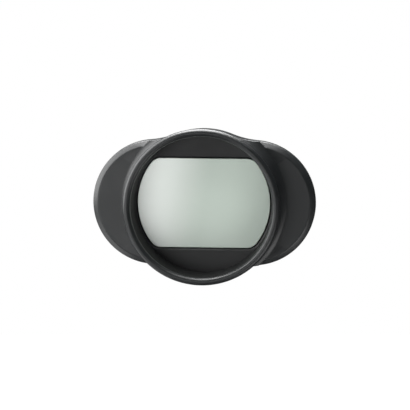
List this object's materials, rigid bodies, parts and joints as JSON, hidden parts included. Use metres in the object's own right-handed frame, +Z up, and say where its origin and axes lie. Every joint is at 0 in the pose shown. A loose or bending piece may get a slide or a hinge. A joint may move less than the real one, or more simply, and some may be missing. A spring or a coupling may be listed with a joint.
{
  "type": "viewfinder magnifying eyepiece",
  "caption": "Slide-on viewfinder magnifier: rubber eyecup with side wings and a deep round lip, flat-topped eye lens, slim housing and a rear shoe with leaf-spring detents.",
  "frame": {"origin": "where the optical axis crosses the seat plane, the shoe's rear face, as worn on a camera", "axes": "+Y along the optical axis towards the camera, so the eye looks in from -Y; +X to the right as the user looks in; +Z up, and the shoe slides down onto the viewfinder along -Z"},
  "size_m": [0.052, 0.025, 0.0364],
  "materials": {
    "eyecup_rubber": "satin",
    "frame_plastic": "matte",
    "housing_plastic": "fine grain",
    "shoe_plastic": "satin",
    "baffle_foil": "dead matte",
    "eye_glass": "coated",
    "objective_glass": "coated",
    "stiffener_steel": "blackened",
    "spring_steel": "rolled",
    "screw_steel": "black oxide",
    "seal_foam": "open cell"
  },
  "bodies": {
    "eyepiece": {"eyecup": "eyecup_rubber", "wing_stiffener": "stiffener_steel", "lens_frame": "frame_plastic", "eye_lens": "eye_glass", "eye_baffle": "baffle_foil", "housing": "housing_plastic", "rear_baffle": "baffle_foil", "objective_lens": "objective_glass", "objective_retainer": "frame_plastic", "shoe": "shoe_plastic", "light_seal": "seal_foam", "shoe_screws": "screw_steel", "wing_screws": "screw_steel"},
    "left_leaf": {"leaf_spring_left": "spring_steel"},
    "right_leaf": {"leaf_spring_right": "spring_steel"}
  },
  "joints": [
    {"name": "left_leaf_bend", "type": "hinge", "parent": "eyepiece", "child": "left_leaf", "pos_m": [-0.014, -0.004, -0.0056], "axis": [0, -1, 0], "range_deg": [0, 4], "stiffness_Nm_per_rad": 0.1},
    {"name": "right_leaf_bend", "type": "hinge", "parent": "eyepiece", "child": "right_leaf", "pos_m": [0.014, -0.004, -0.0056], "axis": [0, 1, 0], "range_deg": [0, 4], "stiffness_Nm_per_rad": 0.1}
  ]
}
